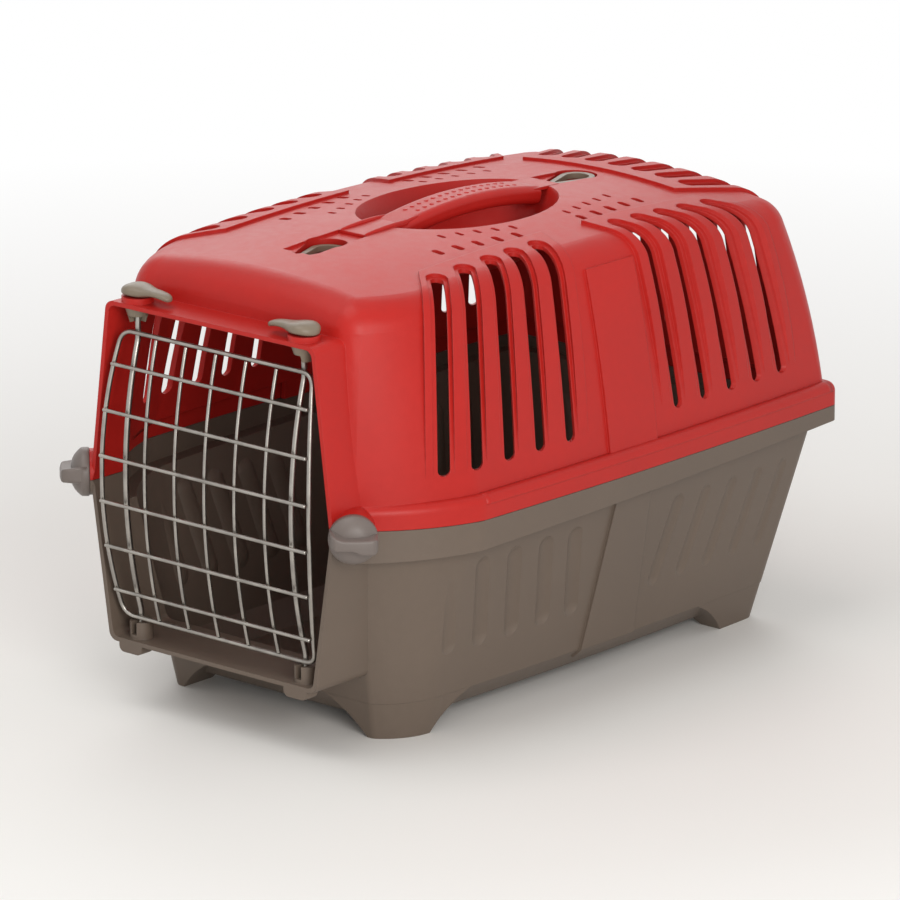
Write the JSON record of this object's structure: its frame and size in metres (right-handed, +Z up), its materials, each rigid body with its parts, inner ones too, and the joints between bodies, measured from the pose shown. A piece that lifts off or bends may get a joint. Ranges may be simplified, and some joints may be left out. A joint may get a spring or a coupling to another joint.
{
  "type": "airline pet carrier",
  "caption": "Hard-shell pet carrier with a fluted base, a louvred cover with a carry handle, and a hinged wire door.",
  "frame": {"origin": "centre of the bounding box on the floor plane", "axes": "+Z up, +Y from the door to the rear, +X to the carrier's right side"},
  "size_m": [0.3154, 0.5054, 0.33],
  "materials": {
    "cover_plastic": "satin moulded plastic",
    "base_plastic": "satin moulded plastic",
    "trim_plastic": "satin moulded plastic",
    "latch_plastic": "satin moulded plastic",
    "wire": "plated wire"
  },
  "bodies": {
    "base": {"lower_shell": "base_plastic"},
    "cover": {"upper_shell": "cover_plastic", "carry_handle": "cover_plastic"},
    "door": {"door_frame_wire": "wire", "cross_wire_1": "wire", "cross_wire_2": "wire", "cross_wire_3": "wire", "cross_wire_4": "wire", "cross_wire_5": "wire", "cross_wire_6": "wire", "upright_wire_1": "wire", "upright_wire_2": "wire", "upright_wire_3": "wire", "upright_wire_4": "wire", "upright_wire_5": "wire", "door_rod_left": "wire", "door_rod_right": "wire"},
    "latch_left": {"latch_lever_left": "latch_plastic", "latch_hub_left": "latch_plastic"},
    "latch_right": {"latch_lever_right": "latch_plastic", "latch_hub_right": "latch_plastic"},
    "knob_left": {"corner_knob_left": "trim_plastic", "knob_cam_left": "trim_plastic"},
    "knob_right": {"corner_knob_right": "trim_plastic", "knob_cam_right": "trim_plastic"},
    "ring_front": {"strap_ring_front": "trim_plastic"},
    "ring_rear": {"strap_ring_rear": "trim_plastic"}
  },
  "joints": [
    {"name": "cover_lift", "type": "slide", "parent": "base", "child": "cover", "axis": [0, 0, 1], "range_m": [0, 0.2]},
    {"name": "door_hinge", "type": "hinge", "parent": "base", "child": "door", "pos_m": [-0.076, -0.22514, 0.165], "axis": [0, 0, -1], "range_deg": [0, 105]},
    {"name": "latch_left", "type": "hinge", "parent": "cover", "child": "latch_left", "pos_m": [-0.076, -0.22514, 0.29], "axis": [0, 0, -1], "range_deg": [0, 90]},
    {"name": "latch_right", "type": "hinge", "parent": "cover", "child": "latch_right", "pos_m": [0.076, -0.22514, 0.29], "axis": [0, 0, 1], "range_deg": [0, 90]},
    {"name": "knob_left", "type": "hinge", "parent": "cover", "child": "knob_left", "pos_m": [-0.1211, -0.22757, 0.1595], "axis": [-0.7071, -0.7071, 0], "range_deg": [0, 90]},
    {"name": "knob_right", "type": "hinge", "parent": "cover", "child": "knob_right", "pos_m": [0.1211, -0.22757, 0.1595], "axis": [0.7071, -0.7071, 0], "range_deg": [0, 90]},
    {"name": "ring_front_flip", "type": "hinge", "parent": "cover", "child": "ring_front", "pos_m": [0, -0.14527, 0.31379], "axis": [1, 0, 0], "range_deg": [0, 90]},
    {"name": "ring_rear_flip", "type": "hinge", "parent": "cover", "child": "ring_rear", "pos_m": [0, 0.11573, 0.31646], "axis": [1, 0, 0], "range_deg": [0, 90]}
  ]
}
